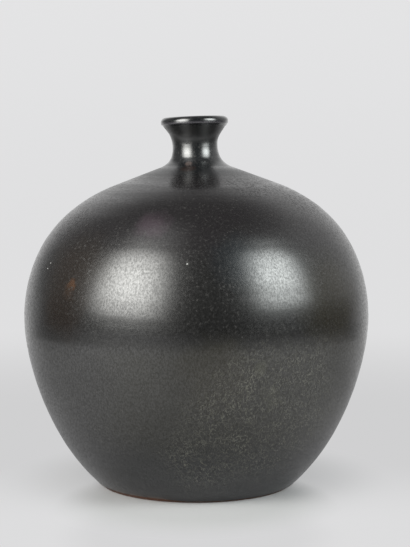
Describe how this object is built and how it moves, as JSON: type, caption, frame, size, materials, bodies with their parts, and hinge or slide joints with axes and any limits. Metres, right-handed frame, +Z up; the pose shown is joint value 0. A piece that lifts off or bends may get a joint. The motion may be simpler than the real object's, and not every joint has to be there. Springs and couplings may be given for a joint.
{
  "type": "ball vase",
  "caption": "Glazed ceramic vase with a ball-shaped body on a turned foot, a narrow neck and a flared mouth with a rolled lip.",
  "frame": {"origin": "centre of the foot, on the surface that the vase stands on", "axes": "+Z up through the mouth; -Y towards the camera of the picture, with +X to its right"},
  "size_m": [0.2346, 0.2346, 0.2506],
  "materials": {
    "clay": "bare fired red-brown clay, matt and slightly sandy",
    "dark_glaze": "dark gunmetal glaze with a soft metallic sheen, fine light speckle and small pits",
    "liner_glaze": "dark brown-black satin glaze poured over the inside"
  },
  "bodies": {
    "root": {"lower_bowl": "clay", "upper_dome": "clay", "neck": "clay", "outer_glaze": "dark_glaze", "liner_glaze": "liner_glaze"}
  },
  "joints": []
}
